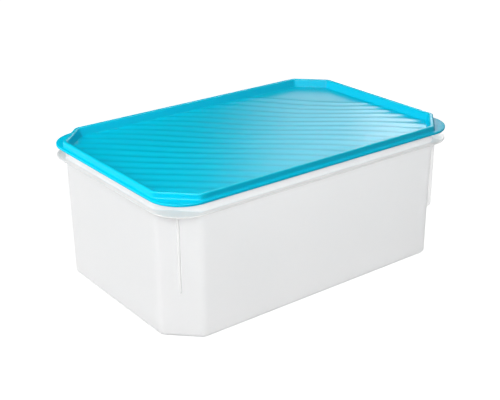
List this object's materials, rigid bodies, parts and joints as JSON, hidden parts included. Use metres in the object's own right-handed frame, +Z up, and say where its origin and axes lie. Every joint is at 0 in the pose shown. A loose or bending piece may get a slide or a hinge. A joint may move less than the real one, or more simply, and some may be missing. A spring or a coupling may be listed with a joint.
{
  "type": "food storage container",
  "caption": "Rectangular food storage container with cut corners: a deep open tub with a thin rim and corner stops, closed by a press-on lid with a recessed, wavy-ridged panel.",
  "frame": {"origin": "middle of the tub's flat underside, which stands on the table", "axes": "+Z up, X along the long side, Y along the short side"},
  "size_m": [0.38, 0.248, 0.154],
  "materials": {
    "tub_plastic": "satin translucent natural polypropylene",
    "lid_plastic": "glossy translucent cyan-blue polypropylene"
  },
  "bodies": {
    "root": {"tub": "tub_plastic", "lid": "lid_plastic"}
  },
  "joints": []
}
